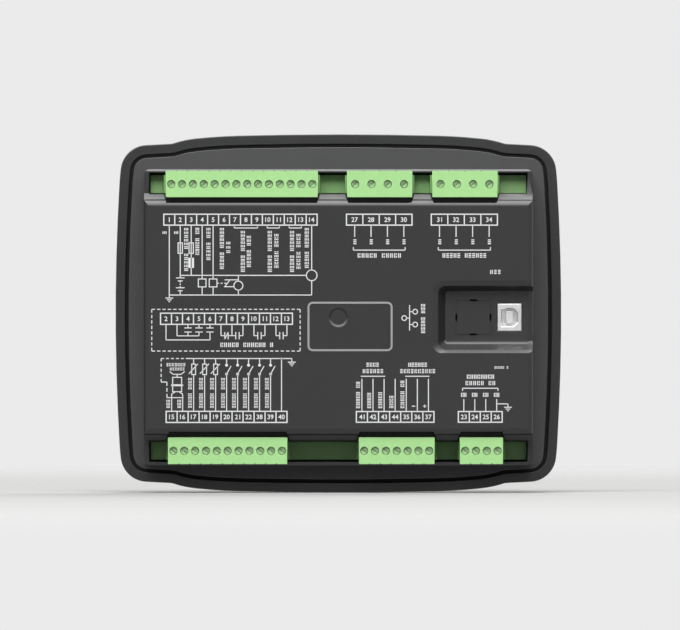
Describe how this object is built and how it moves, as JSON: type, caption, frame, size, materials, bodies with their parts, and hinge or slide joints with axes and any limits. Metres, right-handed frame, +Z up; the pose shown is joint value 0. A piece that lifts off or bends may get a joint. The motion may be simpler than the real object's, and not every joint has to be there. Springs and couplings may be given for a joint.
{
  "type": "genset controller",
  "caption": "Panel-mounted generator controller: bevelled rear case with plug-in screw terminals and a data port, display and sprung keys in front.",
  "frame": {"origin": "middle of the bezel, in the plane of the panel's front face on which the unit seats", "axes": "+Z up as installed, +X to the right as seen from the terminal side, -Y out of the rear"},
  "size_m": [0.209, 0.045, 0.168],
  "materials": {
    "case": "fine-grained moulded plastic, dark grey",
    "fascia": "smooth printed film, near black",
    "lens": "clear window",
    "lcd": "unlit display",
    "board": "solder-masked glass laminate",
    "steel": "zinc-plated steel",
    "contact": "tinned brass",
    "light": "tinted clear plastic",
    "black_plastic": "moulded plastic",
    "seal": "soft black rubber",
    "terminal": "light green moulded plastic",
    "jack": "nickel-plated sheet",
    "tongue": "white moulded plastic",
    "transformer": "potted coil",
    "capacitor": "sleeved can",
    "key_red": "silicone-soft key",
    "key_green": "silicone-soft key",
    "key_grey": "silicone-soft key"
  },
  "bodies": {
    "housing": {"front_bezel": "case", "rear_cover": "case", "front_fascia": "fascia", "display_lens": "lens", "lcd_module": "lcd", "display_board": "board", "main_board": "board", "riser_board": "board", "display_screws": "steel", "main_screws": "steel", "status_lights": "light", "key_switches": "black_plastic", "case_seal": "seal", "board_link": "black_plastic", "riser_link": "black_plastic", "upper_header": "terminal", "lower_header": "terminal", "upper_pins": "contact", "lower_pins": "contact", "upper_screws": "steel", "lower_screws": "steel", "upper_clamps": "contact", "lower_clamps": "contact", "data_jack": "jack", "jack_tongue": "tongue", "relays": "black_plastic", "current_transformers": "transformer", "capacitors": "capacitor", "processor": "black_plastic", "plug_outputs": "terminal", "plug_gens_voltage": "terminal", "plug_mains_voltage": "terminal", "plug_inputs": "terminal", "plug_data": "terminal", "plug_currents": "terminal"},
    "key_stop": {"key_stop": "key_red"},
    "key_manual": {"key_manual": "key_grey"},
    "key_test": {"key_test": "key_grey"},
    "key_auto": {"key_auto": "key_grey"},
    "key_start": {"key_start": "key_green"},
    "key_up": {"key_up": "key_grey"},
    "key_confirm": {"key_confirm": "key_grey"},
    "key_down": {"key_down": "key_grey"}
  },
  "joints": [
    {"name": "key_stop_press", "type": "slide", "parent": "housing", "child": "key_stop", "axis": [0, -1, 0], "range_m": [0, 0.0008], "stiffness_N_per_m": 600},
    {"name": "key_manual_press", "type": "slide", "parent": "housing", "child": "key_manual", "axis": [0, -1, 0], "range_m": [0, 0.0008], "stiffness_N_per_m": 600},
    {"name": "key_test_press", "type": "slide", "parent": "housing", "child": "key_test", "axis": [0, -1, 0], "range_m": [0, 0.0008], "stiffness_N_per_m": 600},
    {"name": "key_auto_press", "type": "slide", "parent": "housing", "child": "key_auto", "axis": [0, -1, 0], "range_m": [0, 0.0008], "stiffness_N_per_m": 600},
    {"name": "key_start_press", "type": "slide", "parent": "housing", "child": "key_start", "axis": [0, -1, 0], "range_m": [0, 0.0008], "stiffness_N_per_m": 600},
    {"name": "key_up_press", "type": "slide", "parent": "housing", "child": "key_up", "axis": [0, -1, 0], "range_m": [0, 0.0008], "stiffness_N_per_m": 600},
    {"name": "key_confirm_press", "type": "slide", "parent": "housing", "child": "key_confirm", "axis": [0, -1, 0], "range_m": [0, 0.0008], "stiffness_N_per_m": 600},
    {"name": "key_down_press", "type": "slide", "parent": "housing", "child": "key_down", "axis": [0, -1, 0], "range_m": [0, 0.0008], "stiffness_N_per_m": 600}
  ]
}
